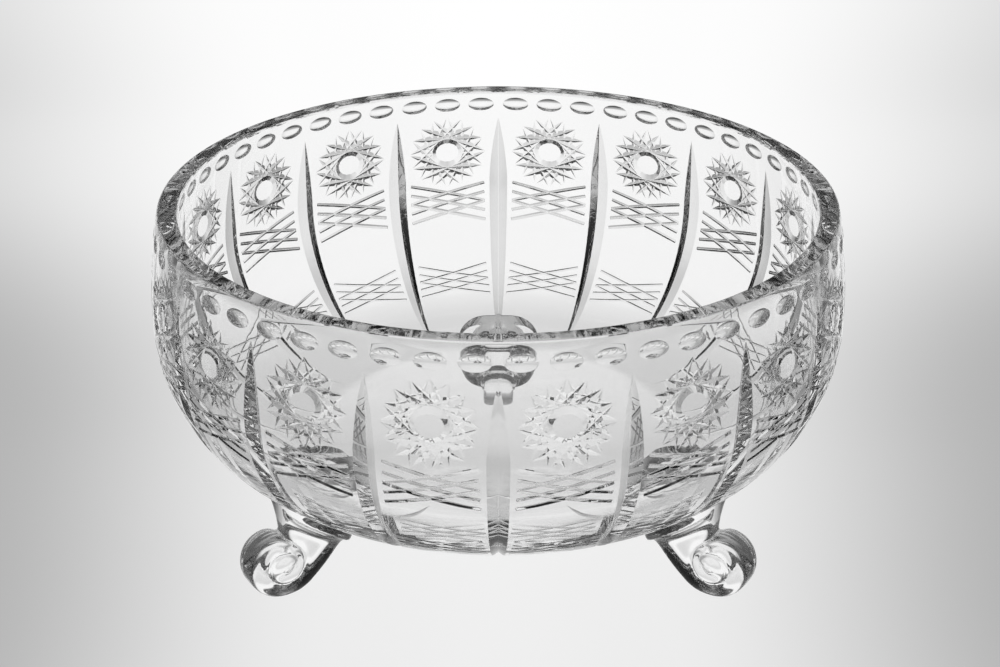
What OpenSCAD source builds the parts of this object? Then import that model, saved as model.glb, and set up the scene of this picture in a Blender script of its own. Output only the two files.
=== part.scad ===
// Footed salad bowl in cut crystal: one thick blown and cut bowl that stands on three scroll feet.
// The frame is in millimetres. The floor is z = 0, the bowl's axis is Z, and +Y points to the rear foot.

/* [Bowl] */
// Outside diameter at the widest part of the belly
belly_d = 205; // [170:0.5:260]
// How far the rim is set in from the belly, on the radius
rim_inset = 3; // [1:0.1:12]
// Height from the underside of the base to the rim
bowl_h = 82; // [72:0.5:100]
// Drop from the rim to the widest part of the belly
belly_drop = 33; // [26:0.5:40]
// Thickness of the wall at the rim and the belly
wall_t = 6; // [5:0.1:8]
// Thickness of the base
base_t = 8; // [6:0.1:12]
// Bevel on both edges of the flat rim
rim_bevel = 0.8; // [0.2:0.1:1.5]

/* [Cuts] */
// Number of panels round the bowl, with one upright groove between each two
panels = 18; // [12:6:24]
// Width of an upright groove at the belly
groove_w = 6.4; // [3:0.1:9]
// Depth of an upright groove at the belly
groove_depth = 2.2; // [1:0.1:3]
// Drop from the rim to the pointed top of a groove
groove_top_drop = 10.4; // [9:0.1:16]
// Angle round the heel at which a groove runs out, from the belly towards the base
groove_end_angle = 80; // [35:1:84]
// Diameter of the ring cut in the middle of each panel, at the bottom of its V
ring_d = 10.4; // [8:0.1:15]
// Width of the ring cut
ring_w = 3.2; // [1.5:0.1:4]
// Depth of the ring cut, which leaves a round button standing in its middle
ring_depth = 1; // [0.6:0.1:1.6]
// Drop from the rim to the middle of the ring cut
ring_drop = 23.4; // [20:0.1:28]

/* [Feet] */
// Height of the bowl's underside above the floor
stand_h = 29.5; // [27:0.5:40]
// Outside diameter of the volute at the end of a foot
volute_d = 20.4; // [18:0.1:25]
// Distance from the bowl's axis to the middle of a volute
volute_reach = 76.4; // [70:0.1:82]
// Width of a volute across its two faces
volute_w = 11; // [9:0.1:16]
// How far a volute's rim is rounded back at its two faces
volute_round = 1.2; // [0.5:0.1:2]
// Width of the neck that joins a volute to the bowl
neck_w = 10.4; // [8:0.1:16]
// Slope of the neck's inner side above the floor
neck_slope = 40; // [36:1:50]
// Distance from the bowl's axis at which the neck's inner side bends up
neck_bend = 53.5; // [50:0.5:57]
// Distance from the bowl's axis to the neck's inner side at the bowl
neck_root = 47; // [44:0.5:49]
// Diameter of the round pad that the neck widens to below its seat on the bowl
pad_d = 19; // [14:0.5:24]
// Length of the cone over which the neck widens to the pad
flare_len = 8; // [4:0.5:10]
// Distance from the bowl's axis to the middle of the pad, at the pad's lower edge
pad_reach = 66.7; // [62:0.1:70]
// Height of that point above the floor
pad_z = 23.5; // [21:0.1:26]
// Distance from the bowl's axis to the neck's outer side at the bowl
neck_reach = 79; // [77:0.5:84]
// Depth of the flat ground under each volute
rest_flat = 0.4; // [0.2:0.1:1]
// Depth of the spiral groove in each face of a volute
spiral_depth = 1.2; // [0.6:0.1:1.6]
// Gap between one turn of the spiral groove and the next
spiral_pitch = 3.2; // [2.4:0.1:3.4]

/* [Hidden] */
$fn = 96;

crystal = [0.86, 0.89, 0.90, 0.45];
rear_azimuth = 90;
foot_spacing = 120;

base_z = stand_h;
rim_z = base_z + bowl_h;
belly_z = rim_z - belly_drop;
belly_r = belly_d / 2;
rim_r = belly_r - rim_inset;
heel_r = belly_z - base_z;
heel_x = belly_r - heel_r;
shoulder_r = arc_radius(rim_inset, belly_drop);
shoulder_x = belly_r - shoulder_r;
cutter_reach = 8;
cutter_overlap = 1;
sweep_overlap = 2;

groove_flank = groove_w / 2 / groove_depth;
groove_r = belly_r - groove_depth;
groove_top_z = rim_z - groove_top_drop;
groove_end_rise = heel_r * sin(groove_end_angle);
groove_end_in = groove_r - heel_x - heel_r * cos(groove_end_angle);
groove_sweep_r = arc_radius(groove_end_in, groove_end_rise);
groove_lean = atan((shoulder_radius_at(groove_top_z) - groove_r) / (groove_top_z - belly_z));

volute_r = volute_d / 2;
volute_z = volute_r - rest_flat;
volute_bulge = arc_radius(volute_round, volute_w / 2);
neck_top_z = base_z + base_t;
neck_lean = atan((pad_reach - volute_reach) / (pad_z - volute_z));
pad_h = belly_z - pad_z;
spiral_start_r = volute_r - spiral_pitch / 2;

// Radius of the arc that rises by `rise` over half a chord of `half_chord`
function arc_radius(rise, half_chord) = (rise * rise + half_chord * half_chord) / (2 * rise);

// Outside radius of the bowl at a height between the belly and the rim
function shoulder_radius_at(z) = shoulder_x + sqrt(pow(shoulder_r, 2) - pow(z - belly_z, 2));

// Tilt of the outside surface's normal above the horizontal at that height
function shoulder_tilt_at(z) = asin((z - belly_z) / shoulder_r);

// Half section of a bowl shape, filled in to the axis: a shoulder arc over a quarter-round heel
module vessel_outline(widest_r, floor_z) {
    round_r = belly_z - floor_z;
    intersection() {
        translate([widest_r - shoulder_r, belly_z]) circle(shoulder_r, $fn = 360);
        translate([0, belly_z]) square([widest_r, belly_drop]);
    }
    intersection() {
        translate([widest_r - round_r, belly_z]) circle(round_r, $fn = 360);
        translate([widest_r - round_r, floor_z]) square(round_r);
    }
    translate([0, floor_z]) square([widest_r - round_r, round_r]);
}

// Small triangle that bevels one edge of the rim: `side` is 1 for the outer edge and -1 for the inner
module rim_edge(edge_r, side) {
    translate([edge_r, rim_z])
        polygon([[side * rim_bevel, rim_bevel], [-side * 2 * rim_bevel, rim_bevel],
                 [side * rim_bevel, -2 * rim_bevel]]);
}

// The bowl before it is cut
module blown_bowl() {
    rotate_extrude() difference() {
        vessel_outline(belly_r, base_z);
        vessel_outline(belly_r - wall_t, base_z + base_t);
        rim_edge(rim_r, 1);
        rim_edge(rim_r - wall_t, -1);
    }
}

// V section of the mitre wheel that cuts the grooves, with its edge at `edge_x`
module mitre_section(edge_x) {
    half_w = cutter_reach * groove_flank;
    polygon([[edge_x, 0], [edge_x + cutter_reach, half_w], [edge_x + cutter_reach, -half_w]]);
}

// One upright groove: straight from the belly up to its point, then round the heel until it runs out
module mitre_groove() {
    translate([groove_r, 0, belly_z])
        rotate([0, groove_lean, 0])
        translate([0, 0, -cutter_overlap])
        linear_extrude(belly_drop + cutter_overlap) mitre_section(0);
    translate([groove_r - groove_sweep_r, 0, belly_z])
        rotate([90, 0, 0])
        rotate([0, 0, sweep_overlap])
        rotate_extrude(angle = -90) mitre_section(groove_sweep_r);
}

// Places a cutter on the shoulder at height z, with the cutter's Z axis straight out of the glass
module on_shoulder(z) {
    translate([shoulder_radius_at(z), 0, z])
        rotate([0, 90 - shoulder_tilt_at(z), 0]) children();
}

// V-shaped ring in the middle of a panel, where the cuts of a star cross round its standing button
module ring_cut() {
    tall = 2 * ring_depth;
    widen = ring_w / 2 * tall / ring_depth;
    on_shoulder(rim_z - ring_drop) translate([0, 0, -ring_depth]) difference() {
        cylinder(tall, ring_d / 2, ring_d / 2 + widen);
        cylinder(tall, ring_d / 2, ring_d / 2 - widen);
    }
}

// Repeats a cutter `count` times round the axis, with the first one at `start`
module round_the_bowl(count, start) {
    for (i = [0 : count - 1]) rotate([0, 0, start + i * 360 / count]) children();
}

// The finished bowl, with a groove straight to the front and a panel on each side of it
module bowl() {
    front = -90;
    half_panel = 180 / panels;
    color(crystal) difference() {
        blown_bowl();
        round_the_bowl(panels, front) mitre_groove();
        round_the_bowl(panels, front + half_panel) ring_cut();
    }
}

// The rolled end of a foot, a disc with a rounded edge that stands on the floor
module volute() {
    translate([volute_reach, 0, volute_z]) rotate([90, 0, 0]) rotate_extrude() intersection() {
        translate([volute_r - volute_bulge, 0]) circle(volute_bulge, $fn = 180);
        translate([0, -volute_w / 2]) square([volute_r, volute_w]);
    }
}

// Side view of the neck: its inner side leaves the volute on a tangent and bends up, and its top lies in the bowl
module neck_outline() {
    tangent = [volute_reach - volute_r * sin(neck_slope), volute_z - volute_r * cos(neck_slope)];
    bend_z = tangent.y + (tangent.x - neck_bend) * tan(neck_slope);
    polygon([tangent, [neck_bend, bend_z], [neck_root, base_z], [neck_root, neck_top_z], [neck_reach, belly_z],
             [neck_reach, neck_top_z], [volute_reach, volute_z + volute_r * cos(neck_slope)],
             [volute_reach, volute_z]]);
}

// The pad: a cone that leans from the volute towards the bowl, and a round block above it
module pad() {
    translate([pad_reach, 0, pad_z]) rotate([0, neck_lean, 0]) {
        translate([0, 0, -flare_len]) cylinder(flare_len, d1 = neck_w, d2 = pad_d);
        cylinder(pad_h, d = pad_d);
    }
}

// The neck: a strip of even width, and the part of the pad that lies within its side view
module neck() {
    rotate([90, 0, 0]) linear_extrude(neck_w, center = true) neck_outline();
    intersection() {
        rotate([90, 0, 0]) linear_extrude(pad_d + neck_w, center = true) neck_outline();
        pad();
    }
}

// One half turn of the spiral groove, as a ring of diamond section in the plane of a volute's face
module spiral_turn(turn_r, centre_x, upper) {
    translate([centre_x, 0]) rotate([0, 0, upper ? 0 : 180])
        rotate_extrude(angle = 180) translate([turn_r, 0]) circle(spiral_depth, $fn = 4);
}

// The whole spiral groove: half turns that close in on the eye, each joined to the last
module spiral_groove() {
    step = spiral_pitch / 2;
    spiral_turn(spiral_start_r - step, -step, false);
    spiral_turn(spiral_start_r - 2 * step, 0, true);
    spiral_turn(spiral_start_r - 3 * step, -step, false);
}

// A scroll foot on the +X side: neck and volute in one, seated on the outside of the bowl
module scroll_foot() {
    difference() {
        union() {
            volute();
            neck();
        }
        difference() {
            rotate_extrude() vessel_outline(belly_r, base_z);
            mitre_groove();
        }
        translate([volute_reach, 0, -volute_r / 2]) cube([volute_d, volute_d, volute_r], center = true);
        for (face = [0, 180]) translate([volute_reach, 0, volute_z])
            rotate([90, 0, 0]) mirror([0, 0, face == 0 ? 0 : 1])
            translate([0, 0, volute_w / 2]) spiral_groove();
    }
}

module foot_at(azimuth) {
    color(crystal) rotate([0, 0, azimuth]) scroll_foot();
}

module rear_foot() { foot_at(rear_azimuth); }
module front_left_foot() { foot_at(rear_azimuth + foot_spacing); }
module front_right_foot() { foot_at(rear_azimuth - foot_spacing); }

bowl();
front_left_foot();
front_right_foot();
rear_foot();
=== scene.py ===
# %% [markdown]
# A footed salad bowl in cut crystal
# The bowl is thick clear glass. Its wall was blown smooth, then cut on turning wheels: upright mitre
# grooves, a star round a smooth button in every panel, crossed mitre lines under the star, and a row of
# olives below the rim. Three pressed scroll feet were fused to it hot.
# This file builds each piece of glass as a closed mesh, because glass only bends light rightly when it has
# a true thickness. A bump texture could draw the cuts, but it would not bend light as their slopes do. So
# the cuts are real ones, and each is made by a cutter with the same edge as the wheel.

import math

import bmesh
import bpy
from mathutils import Matrix, Vector


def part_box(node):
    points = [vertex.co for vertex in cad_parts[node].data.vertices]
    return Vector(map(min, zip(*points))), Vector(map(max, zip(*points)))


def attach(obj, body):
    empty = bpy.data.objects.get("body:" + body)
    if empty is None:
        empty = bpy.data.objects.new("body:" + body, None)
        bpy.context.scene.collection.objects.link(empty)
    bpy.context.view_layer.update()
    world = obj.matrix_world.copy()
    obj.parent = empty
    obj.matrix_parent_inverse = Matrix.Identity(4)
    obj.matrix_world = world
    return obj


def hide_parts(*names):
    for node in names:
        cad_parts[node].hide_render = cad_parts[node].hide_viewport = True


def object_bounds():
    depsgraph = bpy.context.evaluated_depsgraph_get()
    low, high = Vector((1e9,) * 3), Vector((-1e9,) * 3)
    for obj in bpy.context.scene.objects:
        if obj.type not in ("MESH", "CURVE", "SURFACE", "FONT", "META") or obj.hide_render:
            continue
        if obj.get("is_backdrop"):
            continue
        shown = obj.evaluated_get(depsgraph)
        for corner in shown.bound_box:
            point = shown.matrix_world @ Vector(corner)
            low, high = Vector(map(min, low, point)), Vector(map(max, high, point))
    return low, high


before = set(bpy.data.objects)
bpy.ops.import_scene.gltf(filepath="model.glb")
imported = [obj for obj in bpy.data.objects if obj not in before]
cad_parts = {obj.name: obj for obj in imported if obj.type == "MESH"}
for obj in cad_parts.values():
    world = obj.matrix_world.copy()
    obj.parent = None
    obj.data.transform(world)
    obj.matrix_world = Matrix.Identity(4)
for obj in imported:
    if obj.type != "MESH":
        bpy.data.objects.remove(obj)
cad_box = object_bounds()
print("CAD nodes:", sorted(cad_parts))

# %% [markdown]
# Sizes of the blank
# The bowl's section is two arcs: a long flat one for the shoulder, and a quarter circle for the heel that
# runs into the flat base. The sizes are the CAD model's, in millimetres, and MM turns them into metres.
# The rim's height and the widest radius are read from the frame, so the glass sits where the CAD says.

# %% Sizes of the blank
MM = 0.001
PANELS = 18
low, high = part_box("bowl")
base_z, rim_z = low[2] / MM, high[2] / MM
belly_r = high[0] / MM
belly_drop, rim_inset = 33.0, 3.0
wall_t, base_t, rim_round = 6.0, 8.0, 0.9
belly_z = rim_z - belly_drop
heel_r = belly_z - base_z
heel_x = belly_r - heel_r
shoulder_r = (rim_inset**2 + belly_drop**2) / (2 * rim_inset)
shoulder_x = belly_r - shoulder_r
rim_tilt = math.asin(belly_drop / shoulder_r)
shoulder_len = shoulder_r * rim_tilt
print(f"bowl {2 * belly_r:.1f} mm wide, rim at {rim_z:.1f} mm, shoulder radius {shoulder_r:.1f} mm")

# %% [markdown]
# The outline of the blank
# An outline is a list of points in the plane of the radius and the height. Each round stretch is an arc
# from a formula, so a smoother bowl only needs more steps. The same function draws the outside, the
# inside and the seat that the feet are trimmed to, each with its own inset.

# %% Draw the outline
outside_steps, inside_steps = (26, 12), (16, 8)


def arc(centre, radius, start, end, steps):
    """Points along an arc, from one angle to another, both ends included."""
    angles = [start + (end - start) * i / steps for i in range(steps + 1)]
    return [(centre[0] + radius * math.cos(a), centre[1] + radius * math.sin(a)) for a in angles]


def wall_outline(inset, floor_z, heel_steps, shoulder_steps):
    """The wall from the axis at floor_z out to the rim, as heel and shoulder arcs moved in by inset."""
    widest = belly_r - inset
    round_r = belly_z - floor_z
    heel = arc((widest - round_r, belly_z), round_r, -math.pi / 2, 0, heel_steps)
    shoulder = arc((widest - shoulder_r, belly_z), shoulder_r, 0, rim_tilt, shoulder_steps)
    return [(0.0, floor_z)] + heel + shoulder[1:]


def rim_outline(steps=3):
    """The flat rim with its two eased edges, from the outside to the inside."""
    outer, inner = belly_r - rim_inset, belly_r - rim_inset - wall_t
    z = rim_z - rim_round
    outer_edge = arc((outer - rim_round, z), rim_round, rim_tilt, math.pi / 2, steps)
    inner_edge = arc((inner + rim_round, z), rim_round, math.pi / 2, math.pi - rim_tilt, steps)
    return outer_edge + inner_edge


outside = wall_outline(0.0, base_z, *outside_steps)
inside = wall_outline(wall_t, base_z + base_t, *inside_steps)
blank_outline = outside[:-1] + rim_outline() + inside[-2::-1]
print("outline of the blank:", len(blank_outline), "points")

# %% [markdown]
# The blank of half a panel
# The bowl has eighteen panels, and each is its own mirror image. The whole bowl could be spun and then
# cut, but every cut would have to be made eighteen times over. So only half a panel is cut, a wedge of
# ten degrees, and the rest is made from it. A single point is extruded along the outline, and the outline
# is spun about the bowl's axis.

# %% Spin the wedge
half_panel = math.pi / PANELS
wedge_steps = 8
join_slack = 0.001


def deselect_all():
    if bpy.context.object and bpy.context.object.mode != "OBJECT":
        bpy.ops.object.mode_set(mode="OBJECT")
    bpy.ops.object.select_all(action="DESELECT")


def draw_outline(name, points):
    """A new mesh whose one edge chain is extruded along an outline of (radius, height), in edit mode."""
    deselect_all()
    first = Vector((points[0][0], 0, points[0][1])) * MM
    bpy.ops.mesh.primitive_plane_add(size=MM, location=first)
    ob = bpy.context.object
    ob.name = ob.data.name = name
    bpy.ops.object.transform_apply(location=True)
    bpy.ops.object.mode_set(mode="EDIT")
    bpy.ops.mesh.select_mode(type="VERT")
    bpy.ops.mesh.merge(type="CENTER")
    for a, b in zip(points, points[1:]):
        step = Vector((b[0] - a[0], 0, b[1] - a[1])) * MM
        bpy.ops.mesh.extrude_region_move(TRANSFORM_OT_translate={"value": step})
    return ob


def spin_outline(angle, steps):
    """Spins the outline that was just drawn about the Z axis, from the XZ plane towards +Y."""
    bpy.ops.mesh.select_all(action="SELECT")
    bpy.ops.mesh.spin(steps=steps, angle=angle, center=(0, 0, 0), axis=(0, 0, -1))
    bpy.ops.mesh.select_all(action="SELECT")
    bpy.ops.mesh.remove_doubles(threshold=join_slack * MM)
    bpy.ops.object.mode_set(mode="OBJECT")


blank = draw_outline("half_panel", blank_outline)
spin_outline(half_panel, wedge_steps)
print("half panel:", len(blank.data.polygons), "faces")

# %% [markdown]
# The two sides of the wedge
# A cutter only works on a closed solid, and the spun wedge is still open on its two flat sides. The points
# of a side are selected by their place, as all those that lie on its plane, and one face fills them.

# %% Fill the two sides
side_slack = 0.0005


def make_active(ob):
    deselect_all()
    ob.select_set(True)
    bpy.context.view_layer.objects.active = ob


def finish_mesh(ob, merge=join_slack):
    """Merges doubles and turns all faces outwards."""
    make_active(ob)
    bpy.ops.object.mode_set(mode="EDIT")
    bpy.ops.mesh.select_all(action="SELECT")
    bpy.ops.mesh.remove_doubles(threshold=merge * MM)
    bpy.ops.mesh.normals_make_consistent(inside=False)
    bpy.ops.object.mode_set(mode="OBJECT")


def open_edges(ob):
    mesh = bmesh.new()
    mesh.from_mesh(ob.data)
    count = sum(not e.is_manifold for e in mesh.edges)
    mesh.free()
    return count


def on_side(co, azimuth):
    """Is a point on the wedge's side plane at this azimuth?"""
    return abs(co.x * math.sin(azimuth) - co.y * math.cos(azimuth)) < side_slack * MM


for azimuth in (0.0, half_panel):
    make_active(blank)
    bpy.ops.object.mode_set(mode="EDIT")
    bpy.ops.mesh.select_mode(type="VERT")
    bpy.ops.mesh.select_all(action="DESELECT")
    mesh = bmesh.from_edit_mesh(blank.data)
    for v in mesh.verts:
        v.select_set(on_side(v.co, azimuth))
    mesh.select_flush_mode()
    bmesh.update_edit_mesh(blank.data)
    bpy.ops.mesh.edge_face_add()
    bpy.ops.object.mode_set(mode="OBJECT")
finish_mesh(blank)
print("blank wedge: open edges", open_edges(blank))

# %% [markdown]
# Places on the wall
# A cutter of glass marks out the wall before the wheel touches it. Here every cut is placed by how far it
# lies below the rim, measured along the wall, and how far from the panel's middle. That keeps a star round
# although the wall under it curves both ways.


# %% Find a place on the wall
def on_wall(drop, across):
    """Point, normal and the two directions along the wall, at drop below the rim and across the panel."""
    if drop < shoulder_len:
        tilt = rim_tilt - drop / shoulder_r
        r, z = shoulder_x + shoulder_r * math.cos(tilt), belly_z + shoulder_r * math.sin(tilt)
    else:
        tilt = -(drop - shoulder_len) / heel_r
        r, z = heel_x + heel_r * math.cos(tilt), belly_z + heel_r * math.sin(tilt)
    az = across / r
    out = Vector((math.cos(az), math.sin(az), 0))
    round_the_bowl = Vector((-math.sin(az), math.cos(az), 0))
    normal = out * math.cos(tilt) + Vector((0, 0, math.sin(tilt)))
    return out * r + Vector((0, 0, z)), normal, round_the_bowl, normal.cross(round_the_bowl)


def turned(x_axis, z_axis):
    """The rotation that lays a new primitive's X and Z axes along two directions."""
    return Matrix((x_axis, z_axis.cross(x_axis), z_axis)).transposed().to_euler()


print(f"the wall is widest {shoulder_len:.1f} mm below the rim, measured along it")

# %% [markdown]
# The mitre wheel
# A mitre wheel has a V edge. Two cones on one base are that wheel, and pressing it into the wall leaves a
# leaf-shaped cut that is deepest in its middle. A straight bar with a V edge would be simpler, but it
# could only cut as deep as the wall's own curve lets it, which is too shallow up and down the shoulder.

# %% Make a wheel and cut with it
wheel_segments = 96


def mitre_wheel(place, normal, along, wheel_r, depth, flank):
    """A V-edged wheel, standing on the wall in the direction of the cut, that bites to the given depth."""
    deselect_all()
    half_t = wheel_r * flank * MM
    bpy.ops.mesh.primitive_cone_add(
        vertices=wheel_segments, radius1=wheel_r * MM, depth=half_t, end_fill_type="TRIFAN"
    )
    ob = bpy.context.object
    # The base's middle point is pulled out into the second cone.
    ob.data.vertices[0].co.z -= half_t
    ob.data.transform(Matrix.Translation((0, 0, half_t / 2)))
    ob.location = (place + normal * (wheel_r - depth)) * MM
    ob.rotation_euler = turned(normal, normal.cross(along))
    return ob


def cut(ob, cutter):
    """Takes the cutter's shape out of a piece and removes the cutter."""
    make_active(ob)
    step = ob.modifiers.new("cut", "BOOLEAN")
    step.operation, step.object, step.solver = "DIFFERENCE", cutter, "MANIFOLD"
    bpy.ops.object.modifier_apply(modifier=step.name)
    bpy.data.objects.remove(cutter)


print("a wheel has", wheel_segments, "sides")

# %% [markdown]
# The star
# Sixteen straight cuts cross to make the star, each one a chord that just clears a ring round the middle.
# Where two chords end at the same place, they leave a pointed ray. The wheel's bite is set so that the
# leaf shape runs out exactly at the star's outer circle, however the wall curves in that direction. The
# smooth round in the middle needs no cut: it is the wall itself, left standing as a button.

# %% Cut the star
star_points = 16
star_drop, star_r, star_skip = 23.4, 13.6, 6
star_wheel_r, star_flank = 220.0, 1.7
star_ring_r = star_r * math.cos(math.pi * star_skip / star_points)
chord_half = math.sqrt(star_r**2 - star_ring_r**2)
around_r = shoulder_x + shoulder_r
for k in range(star_points):
    turn = math.tau * k / star_points
    u, v = math.cos(turn), math.sin(turn)
    place, normal, across, up = on_wall(star_drop - star_ring_r * v, star_ring_r * u)
    along = (up * u - across * v).normalized()
    wall_curve = v * v / around_r + u * u / shoulder_r
    depth = chord_half**2 / 2 * (1 / star_wheel_r + wall_curve)
    cut(blank, mitre_wheel(place, normal, along, star_wheel_r, depth, star_flank))
print("star cut:", len(blank.data.polygons), "faces")

# %% [markdown]
# The olives
# A round-edged wheel leaves a smooth hollow. An olive is longer than it is high, so its cutter is a ball
# stretched along the rim and pressed flat. How far it is stretched follows from the olive's size at the
# surface and from its depth.

# %% Cut the olives
olive_drop, olive_w, olive_h, olive_depth, olive_reach = 5.6, 9.2, 4.9, 1.2, 3.0
olives_per_panel, olive_segments = 3, 32


def round_cutter(drop, across, radii, depth, segments):
    """A ball stretched to radii along the normal, round the bowl and up the wall, pressed into it."""
    place, normal, _, up = on_wall(drop, across)
    deselect_all()
    bpy.ops.mesh.primitive_uv_sphere_add(
        segments=segments,
        ring_count=segments // 2,
        radius=MM,
        scale=radii,
        location=(place + normal * (radii[0] - depth)) * MM,
        rotation=turned(normal, up),
    )
    return bpy.context.object


olive_share = math.sqrt(1 - (1 - olive_depth / olive_reach) ** 2)
olive_radii = (olive_reach, olive_w / 2 / olive_share, olive_h / 2 / olive_share)
olive_pitch = math.tau * (belly_r - rim_inset) / (olives_per_panel * PANELS)
for across in (0.0, olive_pitch):
    cut(blank, round_cutter(olive_drop, across, olive_radii, olive_depth, olive_segments))
print("olives cut:", len(blank.data.polygons), "faces")

# %% [markdown]
# A cutter for lines of even depth
# A fine line on cut glass is as deep at its ends as in its middle, because the bowl was rolled under the
# wheel as it was cut. A wheel that is only pressed in can't leave such a line. So this cutter is a V
# section that is spun round an arc, and the arc follows the wall.

# %% Make a swept cutter
sweep_reach, sweep_steps = 4.0, 12


def mitre_sweep(place, normal, along, sweep_r, depth, flank, half_len):
    """A V section swept on an arc that follows the wall through a place."""
    deselect_all()
    side = normal.cross(along)
    bpy.ops.mesh.primitive_circle_add(vertices=3, radius=MM, fill_type="NGON")
    ob = bpy.context.object
    edge = place - normal * depth
    top, half_w = edge + normal * sweep_reach, sweep_reach * flank
    for v, corner in zip(ob.data.vertices, (edge, top + side * half_w, top - side * half_w)):
        v.co = corner * MM
    centre = place - normal * sweep_r
    back = Matrix.Rotation(-half_len / sweep_r, 4, side)
    ob.data.transform(Matrix.Translation(centre * MM) @ back @ Matrix.Translation(-centre * MM))
    bpy.ops.object.mode_set(mode="EDIT")
    bpy.ops.mesh.select_all(action="SELECT")
    bpy.ops.mesh.spin(steps=sweep_steps, angle=2 * half_len / sweep_r, center=centre * MM, axis=-side)
    bpy.ops.mesh.select_all(action="SELECT")
    bpy.ops.mesh.normals_make_consistent(inside=False)
    bpy.ops.object.mode_set(mode="OBJECT")
    return ob


print("a swept cutter has", sweep_steps, "steps")

# %% [markdown]
# The crossed lines
# Under each star runs a sheaf of fine mitre lines. Three lines fall and three rise from one side of the
# panel to the other, so the sheaf is wide at the grooves and narrow in the middle. A second sheaf lies
# lower, round the heel, and the wall between the two is left plain.

# %% Cut the two sheaves
line_flank = 1.6
sheaf_starts = (7.0, 3.5, 0.0)
sheaf_fall = 7.0
upper_sheaf = {"drop": 42.0, "squeeze": 1.0, "margin": 4.4, "depth": 0.44}
lower_sheaf = {"drop": 71.0, "squeeze": 0.86, "margin": 3.2, "depth": 0.32}
for sheaf in (upper_sheaf, lower_sheaf):
    middle = on_wall(sheaf["drop"], 0.0)[0]
    half_w = middle.x * half_panel - sheaf["margin"]
    slope = sheaf_fall * sheaf["squeeze"] / (2 * half_w)
    for start in sheaf_starts:
        rise_at_middle = (start - sheaf_fall / 2) * sheaf["squeeze"]
        for sign in (1, -1):
            place, normal, across, up = on_wall(sheaf["drop"] - rise_at_middle, 0.0)
            along = (across - up * slope * sign).normalized()
            bend = place.x / normal.x
            line = mitre_sweep(place, normal, along, bend, sheaf["depth"], line_flank, half_w)
            cut(blank, line)
print("sheaves cut:", len(blank.data.polygons), "faces")

# %% [markdown]
# The path of the upright groove
# The deepest cut parts one panel from the next. From the belly its bottom edge rises straight, and leans
# out until it leaves the wall at a point below the rim. From the belly down it follows an arc that is a
# little flatter than the heel, so it runs out before the base. Its radius follows from where it ends.

# %% Work out the groove
groove_w, groove_depth, groove_top_drop, groove_end = 6.4, 2.2, 10.4, math.radians(84)
groove_reach = 5.0
groove_flank = groove_w / 2 / groove_depth
groove_r = belly_r - groove_depth
run_in = groove_r - heel_x - heel_r * math.cos(groove_end)
run_down = heel_r * math.sin(groove_end)
groove_sweep_r = (run_in**2 + run_down**2) / (2 * run_in)
top_rise = belly_drop - groove_top_drop
top_r = shoulder_x + math.sqrt(shoulder_r**2 - top_rise**2)
print(f"groove: arc of {groove_sweep_r:.1f} mm round a heel of {heel_r:.1f} mm")

# %% [markdown]
# The groove's cutter
# A V section is set at the belly, spun round the heel's arc, and its upper end is extruded past the point
# where it leaves the wall. Half of the cut lies in this wedge, and the mirror image makes the other half.
# A copy of the cutter is kept for the feet, which fill the grooves that they sit in.

# %% Cut the groove
groove_steps, groove_overrun = 30, 1.35
deselect_all()
bpy.ops.mesh.primitive_circle_add(vertices=3, radius=MM, fill_type="NGON")
groove = bpy.context.object
half_w = groove_reach * groove_flank
section = (0, 0), (groove_reach, half_w), (groove_reach, -half_w)
for v, (x, y) in zip(groove.data.vertices, section):
    v.co = Vector((groove_r + x, y, belly_z)) * MM
bpy.ops.object.mode_set(mode="EDIT")
bpy.ops.mesh.select_all(action="SELECT")
sweep_centre = Vector((groove_r - groove_sweep_r, 0, belly_z)) * MM
bpy.ops.mesh.spin(steps=groove_steps, angle=math.radians(90), center=sweep_centre, axis=(0, -1, 0))
bpy.ops.mesh.select_all(action="DESELECT")
mesh = bmesh.from_edit_mesh(groove.data)
for face in mesh.faces:
    if all(abs(v.co.z - belly_z * MM) < join_slack * MM for v in face.verts):
        face.select_set(True)
bmesh.update_edit_mesh(groove.data)
lean = Vector((top_r - groove_r, 0, top_rise)) * groove_overrun * MM
bpy.ops.mesh.extrude_region_move(TRANSFORM_OT_translate={"value": lean})
finish_mesh(groove)
seat_groove = groove.copy()
seat_groove.data = groove.data.copy()
bpy.context.collection.objects.link(seat_groove)
groove.rotation_euler.z = half_panel
cut(blank, groove)
print("groove cut:", len(blank.data.polygons), "faces, open edges", open_edges(blank))

# %% [markdown]
# From half a panel to a panel
# The two filled sides have done their work. They are selected by their place and deleted, and a Mirror
# modifier makes the whole panel.


# %% Mirror the half panel
def on_either_side(face):
    return any(all(on_side(v.co, a) for v in face.verts) for a in (0.0, half_panel))


make_active(blank)
bpy.ops.object.mode_set(mode="EDIT")
bpy.ops.mesh.select_mode(type="FACE")
bpy.ops.mesh.select_all(action="DESELECT")
mesh = bmesh.from_edit_mesh(blank.data)
for face in mesh.faces:
    face.select_set(on_either_side(face))
bmesh.update_edit_mesh(blank.data)
bpy.ops.mesh.delete(type="FACE")
bpy.ops.object.mode_set(mode="OBJECT")
mirror = blank.modifiers.new("mirror", "MIRROR")
mirror.use_axis = (False, True, False)
mirror.merge_threshold = join_slack * MM
make_active(blank)
bpy.ops.object.modifier_apply(modifier=mirror.name)
print("panel:", len(blank.data.polygons), "faces")

# %% [markdown]
# From a panel to the bowl
# Spin with duplicates sets eighteen panels round the axis. Their edges meet exactly, so merging doubles
# closes the bowl. Faces that meet at a small angle are shaded smooth, and the edges of the cuts stay
# crisp.

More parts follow.
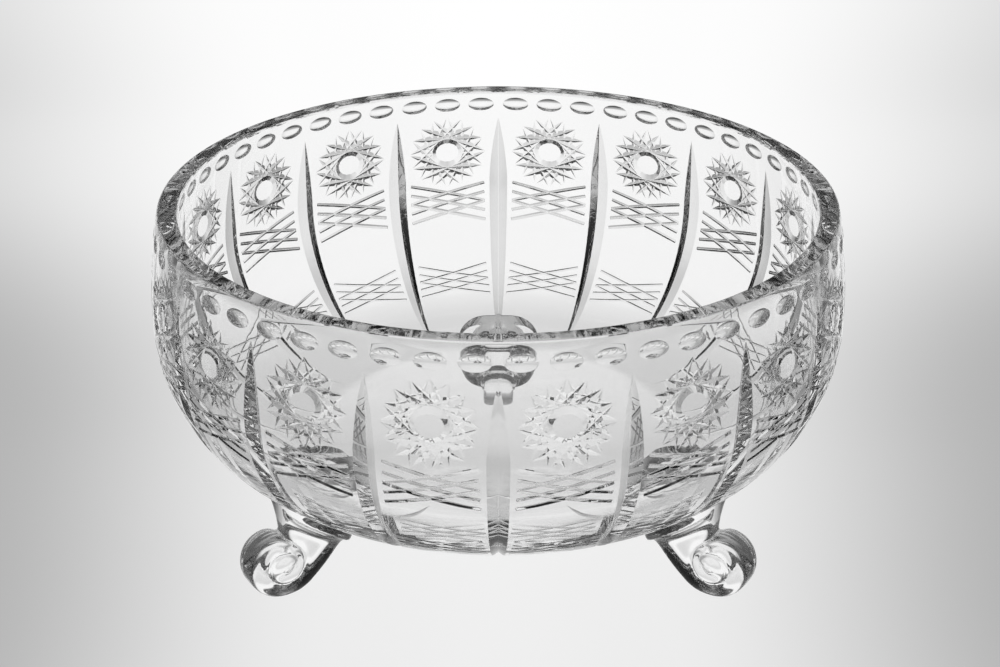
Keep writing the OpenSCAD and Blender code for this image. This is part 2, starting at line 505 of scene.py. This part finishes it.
# %% Repeat the panel
panel_slack, crisp_angle = 0.004, math.radians(16)
bpy.ops.object.mode_set(mode="EDIT")
bpy.ops.mesh.select_all(action="SELECT")
bpy.ops.mesh.spin(
    steps=PANELS - 1,
    dupli=True,
    angle=math.tau * (PANELS - 1) / PANELS,
    center=(0, 0, 0),
    axis=(0, 0, 1),
)
bpy.ops.object.mode_set(mode="OBJECT")
bowl = blank
bowl.name = bowl.data.name = "crystal_bowl"
finish_mesh(bowl, merge=panel_slack)
make_active(bowl)
bpy.ops.object.shade_smooth_by_angle(angle=crisp_angle)


def triangles(ob):
    return sum(len(p.vertices) - 2 for p in ob.data.polygons)


print("bowl:", triangles(bowl), "triangles, open edges", open_edges(bowl))

# %% [markdown]
# The roll of a scroll foot
# A foot is a thick strip of glass that leaves the bowl, runs out and down, and rolls up into a volute. In
# side view it has two edges. The outer edge comes down the neck's inner side, under the volute and up
# over its top, dives into a notch beside the neck, and from there is the crease that winds in to the eye.
# A plain spiral can't have that notch. So the edge's radius is given at a few turns, and a smooth curve
# joins them.

# %% Edge of the roll
eye_x, eye_z = 75.3, 9.7
neck_turn, notch_turn, eye_turn = 50, 279, 740
scroll = (
    (neck_turn, 10.6), (90, 9.8), (180, 11.2), (225, 11.6), (256, 10.5), (notch_turn, 8.8),
    (310, 7.4), (360, 6.2), (450, 5.2), (540, 5.5), (630, 5.2), (690, 4.3), (eye_turn, 2.0),
)


def scroll_r(turn):
    """Radius of the outer edge at a turn in degrees; turn 0 faces the bowl's axis, and 90 is the sole."""
    last = len(scroll) - 1
    i = max(k for k in range(last) if scroll[k][0] <= max(turn, neck_turn))
    slopes = []
    for k in (i, i + 1):
        before, after = scroll[max(k - 1, 0)], scroll[min(k + 1, last)]
        slopes.append((after[1] - before[1]) / (after[0] - before[0]))
    (a, r_a), (b, r_b) = scroll[i], scroll[i + 1]
    t = min(1.0, max(0.0, (turn - a) / (b - a)))
    bend_a, bend_b = slopes[0] * (b - a) - (r_b - r_a), (r_b - r_a) - slopes[1] * (b - a)
    return r_a + (r_b - r_a) * t + t * (1 - t) * (bend_a * (1 - t) + bend_b * t)


def rolled(radius, turn):
    a = math.radians(turn)
    return Vector((eye_x - radius * math.cos(a), 0, eye_z - radius * math.sin(a)))


notch = rolled(scroll_r(notch_turn), notch_turn)
print(f"sole at {rolled(scroll_r(90), 90).z:.2f} mm, notch at {notch.z:.2f} mm")

# %% [markdown]
# The neck of a scroll foot
# The neck joins the roll to the bowl. Its inner side is one smooth bend, steep at the bowl and leaning
# out to the volute, and is drawn as a curve with two handles. Its outer side runs straight down into the
# notch.

# %% Edges of the neck
root_inner, root_outer = (50.0, 38.0), (76.5, 40.0)
neck_bends = (49.5, 22.0), (53.8, 13.7)


def along_line(a, b, t):
    return Vector((a[0] + (b[0] - a[0]) * t, 0, a[1] + (b[1] - a[1]) * t))


def along_neck(t):
    """A point on the neck's inner side, from the bowl at 0 to the roll at 1."""
    shares = (1 - t) ** 3, 3 * (1 - t) ** 2 * t, 3 * (1 - t) * t**2, t**3
    points = root_inner, *neck_bends, rolled(scroll_r(neck_turn), neck_turn).xz
    x, z = (sum(share * point[i] for share, point in zip(shares, points)) for i in (0, 1))
    return Vector((x, 0, z))


print(f"the neck meets the roll at {along_neck(1.0).z:.2f} mm above the floor")

# %% [markdown]
# The strip as a row of rings
# A bevelled curve could sweep the strip, but its section would keep one shape. So the strip is a row of
# rings from the bowl to the eye. Each ring is fitted between the two edges, with flat faces and rounded
# corners, so that the turns meet in a crease. They overlap a little on purpose, because they are fused
# later. Near the eye the strip rises a little out of the foot's two faces, and then tapers to its end.

# %% Fit the rings
strip_w, neck_square, roll_square = 10.4, 5.0, 4.0
neck_rings, roll_rings, notch_share = 40, 140, 0.5
crease_overlap, eye_core = 0.35, 0.4
eye_raise, raise_from, raise_over = 0.9, 330, 80
taper_over, taper_w = 60, 0.6
rings = []
for i in range(neck_rings):
    t = i / neck_rings
    if t < notch_share:
        inner = along_line(root_outer, notch.xz, t / notch_share)
    else:
        turn = notch_turn + (t - notch_share) / (1 - notch_share) * (neck_turn + 360 - notch_turn)
        inner = rolled(scroll_r(turn) - crease_overlap, turn)
    rings.append((along_neck(t), inner, strip_w / 2, neck_square))
for i in range(roll_rings + 1):
    turn = neck_turn + (eye_turn - neck_turn) * i / roll_rings
    crease = scroll_r(turn + 360) - crease_overlap if turn + 360 < eye_turn else eye_core
    raised = eye_raise * min(1.0, max(0.0, (turn - raise_from) / raise_over))
    taper = min(1.0, (eye_turn - turn) / taper_over)
    half_w = (strip_w / 2 + raised) * (taper_w + (1 - taper_w) * taper)
    rings.append((rolled(scroll_r(turn), turn), rolled(crease, turn), half_w, roll_square))
print("strip:", len(rings), "rings")

# %% [markdown]
# Extruding the strip
# The strip starts as a filled circle of points. It is extruded once for each ring, and the new points,
# which are the selected ones, are moved to the ring's own shape: an oval that is squared off towards a
# rectangle.

# %% Extrude the strip
ring_points = 48


def ring_shape(outer, inner, half_w, squareness):
    """Points of a rounded ring between the strip's two edges."""
    middle, reach = (outer + inner) / 2, (outer - inner) / 2
    points = []
    for j in range(ring_points):
        a = math.tau * j / ring_points
        u = math.copysign(abs(math.cos(a)) ** (2 / squareness), math.cos(a))
        w = math.copysign(abs(math.sin(a)) ** (2 / squareness), math.sin(a))
        points.append((middle + reach * u + Vector((0, half_w * w, 0))) * MM)
    return points


deselect_all()
bpy.ops.mesh.primitive_circle_add(vertices=ring_points, radius=MM, fill_type="NGON")
foot = bpy.context.object
foot.name = foot.data.name = "scroll_foot"
bpy.ops.object.mode_set(mode="EDIT")
mesh = bmesh.from_edit_mesh(foot.data)
for ring_index, ring in enumerate(rings):
    if ring_index:
        bpy.ops.mesh.extrude_region_move(TRANSFORM_OT_translate={"value": (0, 0, MM)})
        mesh = bmesh.from_edit_mesh(foot.data)
    moved = [v for v in mesh.verts if v.select]
    mesh.verts.index_update()
    moved.sort(key=lambda v: v.index)
    for v, point in zip(moved, ring_shape(*ring)):
        v.co = point
    bmesh.update_edit_mesh(foot.data)
bpy.ops.mesh.select_all(action="SELECT")
bpy.ops.mesh.normals_make_consistent(inside=False)
bpy.ops.object.mode_set(mode="OBJECT")
print("strip:", len(foot.data.polygons), "faces, open edges", open_edges(foot))

# %% [markdown]
# Fusing the roll
# The eye is a ball in the middle of the roll, stretched until it stands a little proud of both faces. The
# turns of the strip still lie in each other. A boolean union could join them if they were separate solids,
# but this is one strip that meets itself, so Remesh is used: it puts one new skin round all of it.

# %% Fuse the foot
eye_r, eye_half_w = 4.0, 6.2
skin = {"mode": "VOXEL", "voxel_size": 0.36 * MM}
deselect_all()
bpy.ops.mesh.primitive_uv_sphere_add(
    segments=48,
    ring_count=24,
    radius=MM,
    scale=(eye_r, eye_half_w, eye_r),
    location=(eye_x * MM, 0, eye_z * MM),
)
eye = bpy.context.object
make_active(foot)
eye.select_set(True)
bpy.ops.object.join()


def apply_modifier(ob, kind, **settings):
    make_active(ob)
    step = ob.modifiers.new(kind.lower(), kind)
    for key, value in settings.items():
        setattr(step, key, value)
    bpy.ops.object.modifier_apply(modifier=step.name)


apply_modifier(foot, "REMESH", **skin)
print("foot fused:", len(foot.data.polygons), "faces, open edges", open_edges(foot))

# %% [markdown]
# The pad
# Where the hot foot was pressed on to the bowl, its neck spread into a round pad. The points near the bowl
# are moved sideways, and more the nearer they are, which gives the neck a hollow flare. A second Remesh
# evens out the stretched faces, and Smooth gives the foot the soft creases of fire-polished glass.

# %% Flare the neck
flare_len, flare_out = 5.5, 8.3
pad_rim = Vector((70.0, 0, 25.8))
pad_axis = Vector((-0.577, 0, 0.817))
pad_across = Vector((-pad_axis.z, 0, pad_axis.x))
pad_middle, pad_reach = 4.0, 16.0
for v in foot.data.vertices:
    from_rim = v.co / MM - pad_rim
    near = min(1.0, max(0.0, from_rim.dot(pad_axis) / flare_len + 1))
    round_plan = math.sqrt(max(0.0, 1 - ((from_rim.dot(pad_across) - pad_middle) / pad_reach) ** 2))
    flare = flare_out * (1 - math.sqrt(1 - near**2))
    v.co.y *= 1 + flare * round_plan / (strip_w / 2)
apply_modifier(foot, "REMESH", **skin)
apply_modifier(foot, "SMOOTH", factor=0.5, iterations=8)
print(f"pad: {2 * max(v.co.y for v in foot.data.vertices) / MM:.1f} mm across")

# %% [markdown]
# The seat and the sole
# The foot still reaches into the bowl, and is cut back by the bowl's own outside. The cutter is that
# outline moved in by three tenths of a millimetre, so that the two glasses overlap a little and read as
# one fused body with no air gap. The groove is taken out of the cutter first, so the foot fills the
# groove that it sits in. Last, the sole is cut flat at the floor.

# %% Trim the seat and the sole
seat_sink, seat_steps = 0.3, 288
sole_cutter, soft_angle = 40.0, math.radians(35)
seat_outline = wall_outline(seat_sink, base_z + seat_sink, *outside_steps) + [(0.0, rim_z)]
seat = draw_outline("seat", seat_outline)
spin_outline(math.tau, seat_steps)
finish_mesh(seat)
seat_groove.location.x = -seat_sink * MM
cut(seat, seat_groove)
cut(foot, seat)
deselect_all()
sole_place = Vector((eye_x, 0, -sole_cutter / 2)) * MM
bpy.ops.mesh.primitive_cube_add(size=sole_cutter * MM, location=sole_place)
cut(foot, bpy.context.object)
finish_mesh(foot)
make_active(foot)
bpy.ops.object.shade_smooth_by_angle(angle=soft_angle)
print("foot:", triangles(foot), "triangles, open edges", open_edges(foot))

# %% [markdown]
# Three feet
# The feet are alike, so the first is copied and each copy is turned to its own place round the axis. Each
# has a mesh of its own, because each is a separate piece of glass. The turn is applied to the mesh, so
# that every finished piece sits at the origin.

# %% Place the feet
feet = []
for node, azimuth in (("rear_foot", 90), ("front_left_foot", 210), ("front_right_foot", 330)):
    piece = foot.copy()
    piece.data = foot.data.copy()
    piece.name = piece.data.name = "crystal_" + node
    bpy.context.collection.objects.link(piece)
    piece.rotation_euler.z = math.radians(azimuth)
    make_active(piece)
    bpy.ops.object.transform_apply(location=True, rotation=True, scale=True)
    feet.append((piece, node))
bpy.data.objects.remove(foot)
print("feet:", [piece.name for piece, _ in feet])

# %% [markdown]
# Crystal
# Lead crystal is clear and bends light more than window glass. The Glass shader could show that too, but
# the Principled shader is the one that model files carry over. What is the same all over the glass is set
# on the shader's own sockets, and what changes over the surface comes from nodes in the next steps.

# %% Crystal shader
crystal = bpy.data.materials.new("crystal")
crystal.use_nodes = True
glass = crystal.node_tree
shader = glass.nodes["Principled BSDF"]
shader.inputs["Transmission Weight"].default_value = 1.0
shader.inputs["IOR"].default_value = 1.545
shader.inputs["Metallic"].default_value = 0.0


def add_node(tree, kind, values=None, **settings):
    """A new node; its settings come first, because they decide which inputs it has."""
    node = tree.nodes.new("ShaderNode" + kind)
    for name, value in settings.items():
        setattr(node, name, value)
    for name, value in (values or {}).items():
        node.inputs[name].default_value = value
    return node


coords = add_node(glass, "TexCoord")
print("crystal: index of refraction", round(shader.inputs["IOR"].default_value, 3))

# %% [markdown]
# Waves and softened edges
# The polished faces of a real bowl wave slightly, and no edge of a cut is quite sharp. The waves are a
# weak bump from soft noise. The Bevel node rounds the shading of every edge by a fifth of a millimetre,
# which real bevels could do only with many more faces.

# %% Surface of the crystal
wave = add_node(glass, "TexNoise", {"Scale": 45.0, "Detail": 1.0})
bump = add_node(glass, "Bump", {"Strength": 0.08, "Distance": 0.6 * MM})
soft_edge = add_node(glass, "Bevel", {"Radius": 0.2 * MM}, samples=4)
glass.links.new(coords.outputs["Object"], wave.inputs["Vector"])
glass.links.new(wave.outputs["Fac"], bump.inputs["Height"])
glass.links.new(soft_edge.outputs["Normal"], bump.inputs["Normal"])
glass.links.new(bump.outputs["Normal"], shader.inputs["Normal"])
print("crystal: edges softened by", round(soft_edge.inputs["Radius"].default_value / MM, 2), "mm")

# %% [markdown]
# Polish and tint
# No polish is quite even, so the roughness comes from fine noise and stays very low. The glass is not
# quite even in colour either: a hint of grey comes and goes with the waves.

# %% Polish and tint of the crystal
fine = add_node(glass, "TexNoise", {"Scale": 160.0, "Detail": 3.0})
polish = add_node(glass, "MapRange", {"From Min": 0.35, "From Max": 0.75, "To Min": 0.0, "To Max": 0.025})
pale_grey, clear_white = (0.985, 0.985, 0.985, 1), (1.0, 1.0, 1.0, 1)
tint = add_node(glass, "Mix", {"A": pale_grey, "B": clear_white}, data_type="RGBA")
glass.links.new(coords.outputs["Object"], fine.inputs["Vector"])
glass.links.new(fine.outputs["Fac"], polish.inputs["Value"])
glass.links.new(polish.outputs["Result"], shader.inputs["Roughness"])
glass.links.new(wave.outputs["Fac"], tint.inputs["Factor"])
glass.links.new(tint.outputs["Result"], shader.inputs["Base Color"])
print("crystal:", len(glass.nodes), "nodes")

# %% [markdown]
# From shapes to pieces
# All four pieces are the same glass. Each one takes the place of its CAD node, and rides on the part's one
# body, because nothing on this bowl moves.

# %% Dress the pieces
for piece, node in [(bowl, "bowl")] + feet:
    piece.data.materials.clear()
    piece.data.materials.append(crystal)
    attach(piece, "root")
    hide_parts(node)
print("pieces:", 1 + len(feet))

# %% [markdown]
# Floor
# The bowl stands on a pale floor with a painted glow, like a light table. The floor could be lit by
# lamps, but its painted light and shade are easier to set as a picture in grey levels, made by ramps
# along and across it. The next helpers make one node each, so that the floor's picture and the room's can
# be written like sums.

# %% Floor and node helpers
floor_size = 8.0
deselect_all()
bpy.ops.mesh.primitive_plane_add(size=floor_size, location=(0, 0, 0))
floor = bpy.context.object
floor.name = floor.data.name = "floor"


def maths(tree, operation, a, b=None, c=None):
    """One Math node; each value is a number or another node's output."""
    node = add_node(tree, "Math", operation=operation)
    for socket, value in zip(node.inputs, (a, b, c)):
        if isinstance(value, (int, float)):
            socket.default_value = value
        elif value is not None:
            tree.links.new(value, socket)
    return node.outputs["Value"]


def ramp_of(tree, name, value, stops):
    """A colour ramp of grey levels at places from 0 to 1."""
    node = add_node(tree, "ValToRGB", name=name)
    node.color_ramp.interpolation = "EASE"
    while len(node.color_ramp.elements) < len(stops):
        node.color_ramp.elements.new(0.5)
    for element, (place, level) in zip(node.color_ramp.elements, stops):
        element.position = place
        element.color = (level, level, level, 1)
    tree.links.new(value, node.inputs["Fac"])
    return node.outputs["Color"]


def blended(tree, blend_type, a, b):
    """Two colours joined by one Mix node."""
    node = add_node(tree, "Mix", data_type="RGBA", blend_type=blend_type)
    node.inputs["Factor"].default_value = 1.0
    tree.links.new(a, node.inputs["A"])
    tree.links.new(b, node.inputs["B"])
    return node.outputs["Result"]


print("floor:", floor_size, "m square")

# %% [markdown]
# The floor's glow
# The painted glow is a beam of painted light that is narrow in front of the bowl and widens behind it,
# brightest behind the bowl and greyer to the sides and towards the viewer. The beam's half width, in
# metres, is one ramp along the floor. The other two give the brightness across the beam, out to twice its
# half width, and along it.

# %% Paint the glow
beam_span = 4.0
glow_and_paper = bpy.data.materials.new("floor_glow_and_paper")
glow_and_paper.use_nodes = True
sheet = glow_and_paper.node_tree
sheet.nodes.clear()
coords = add_node(sheet, "TexCoord")
on_floor = add_node(sheet, "SeparateXYZ")
sheet.links.new(coords.outputs["Object"], on_floor.inputs["Vector"])
back = maths(sheet, "MULTIPLY_ADD", on_floor.outputs["Y"], 1 / beam_span, 0.5)
beam = ramp_of(sheet, "beam", back, (
    (0.48, 0.222), (0.515, 0.24), (0.595, 0.47), (0.66, 0.61), (0.75, 0.8),
))
aside = maths(sheet, "DIVIDE", maths(sheet, "ABSOLUTE", on_floor.outputs["X"]), beam)
across_beam = ramp_of(sheet, "side", maths(sheet, "DIVIDE", aside, 2.0), (
    (0.0, 1.0), (0.1, 0.98), (0.38, 0.51), (0.6, 0.45), (0.8, 0.42),
))
along_beam = ramp_of(sheet, "back", back, (
    (0.2, 0.5), (0.375, 0.7), (0.48, 0.86), (0.53, 0.9), (0.575, 1.0), (0.75, 1.0), (0.95, 0.5),
))
# Painted light: the floor glows without being a lamp, bright behind the bowl and shading to grey at the
# sides.
glow = add_node(sheet, "Emission")
sheet.links.new(blended(sheet, "MULTIPLY", across_beam, along_beam), glow.inputs["Color"])
print("floor glow:", len(sheet.nodes), "nodes")

# %% [markdown]
# What each ray sees of the floor
# Only the camera sees the glow, so it throws no light on the bowl from below. A dark grey paper is added
# to it, and takes the bowl's shadow. Rays that the glass has bent or mirrored pass through the floor and
# see the room instead, because the room is where the look of the glass is set.

# %% Finish the floor
dark_grey = (0.15, 0.15, 0.15, 1)
shadow_paper = add_node(sheet, "BsdfDiffuse", {"Color": dark_grey})
seen_floor = add_node(sheet, "AddShader")
clear_floor = add_node(sheet, "BsdfTransparent")
choose = add_node(sheet, "MixShader")
surface = add_node(sheet, "OutputMaterial")
path = add_node(sheet, "LightPath")
bent = maths(sheet, "MAXIMUM", path.outputs["Is Transmission Ray"], path.outputs["Is Glossy Ray"])
sheet.links.new(path.outputs["Is Camera Ray"], glow.inputs["Strength"])
sheet.links.new(shadow_paper.outputs["BSDF"], seen_floor.inputs[0])
sheet.links.new(glow.outputs["Emission"], seen_floor.inputs[1])
sheet.links.new(bent, choose.inputs["Fac"])
sheet.links.new(seen_floor.outputs["Shader"], choose.inputs[1])
sheet.links.new(clear_floor.outputs["BSDF"], choose.inputs[2])
sheet.links.new(choose.outputs["Shader"], surface.inputs["Surface"])
floor.data.materials.append(glow_and_paper)
floor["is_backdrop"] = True
print("floor:", len(sheet.nodes), "nodes")

# %% [markdown]
# Room
# Clear glass shows what it bends into view, so most of its look comes from the room. Lamps would only put
# spots on it. So the room is painted in grey levels by direction. It is bright behind the bowl, about half
# as bright behind the camera, and dark at the two sides, which draws the dark edges of the cuts. Far down,
# where the table would be, it is bright all the way round, and above the horizon it fades almost to black.

# %% World
world = bpy.data.worlds.new("studio")
bpy.context.scene.world = world
world.use_nodes = True
studio = world.node_tree
studio.nodes.clear()
coords = add_node(studio, "TexCoord")
heading = add_node(studio, "SeparateXYZ")
studio.links.new(coords.outputs["Generated"], heading.inputs["Vector"])
turn = maths(studio, "ABSOLUTE", maths(studio, "ARCTAN2", heading.outputs["X"], heading.outputs["Y"]))
around = ramp_of(studio, "around", maths(studio, "DIVIDE", turn, math.pi), (
    (0.0, 1.0), (0.1, 0.98), (0.16, 0.85), (0.22, 0.5), (0.3, 0.22),
    (0.38, 0.11), (0.6, 0.11), (0.72, 0.15), (0.86, 0.5), (1.0, 0.6),
))
elevation = maths(studio, "ARCSINE", heading.outputs["Z"])
height = maths(studio, "MULTIPLY_ADD", elevation, 1 / math.pi, 0.5)
below = ramp_of(studio, "below", height, ((0.0, 0.7), (0.2, 0.6), (0.3, 0.35), (0.4, 0.0)))
upright = ramp_of(studio, "upright", height, (
    (0.05, 0.8), (0.2, 0.92), (0.28, 0.9), (0.33, 0.76), (0.36, 1.0),
    (0.46, 1.0), (0.505, 0.4), (0.555, 0.06), (0.85, 0.02),
))
room = blended(studio, "LIGHTEN", around, below)
sky = add_node(studio, "Background", {"Strength": 1.0})
surround = add_node(studio, "OutputWorld")
studio.links.new(blended(studio, "MULTIPLY", room, upright), sky.inputs["Color"])
studio.links.new(sky.outputs["Background"], surround.inputs["Surface"])
print("room:", len(studio.nodes), "nodes")

# %% [markdown]
# Camera
# The photograph was taken from above the rim, about twenty-five degrees down, with a lens of middle
# length. These numbers come from fitting the rim's ellipse and the feet. Glass needs many bounces,
# because a ray that looks through the front wall and the back one crosses four surfaces, and more in the
# cuts.

# %% Camera
camera_back, camera_up, look_down = 598.0, 350.2, 25.35
camera_data = bpy.data.cameras.new("camera")
camera = bpy.data.objects.new("camera", camera_data)
bpy.context.collection.objects.link(camera)
camera.location = (0, -camera_back * MM, camera_up * MM)
camera.rotation_euler = (math.radians(90 - look_down), 0, 0)
camera_data.lens = 78.88
camera_data.sensor_width = 36.0
camera_data.shift_x = 0.0017
camera_data.clip_start = 0.01
scene = bpy.context.scene
scene.camera = camera
scene.view_settings.view_transform = "Standard"
scene.cycles.max_bounces = 32
scene.cycles.transmission_bounces = 32
scene.cycles.glossy_bounces = 16
scene.cycles.use_denoising = True
print(f"camera: {math.hypot(camera_back, camera_up):.0f} mm from the floor under the bowl")

# %% [markdown]
# Sizes, and the end
# The CAD box and the finished box are written side by side, to show that the glass keeps to the CAD's
# size.

# %% Finish
new_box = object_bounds()
for title, box in (("CAD box", cad_box), ("visual box", new_box)):
    print(title, [[round(x, 4) for x in corner] for corner in box])
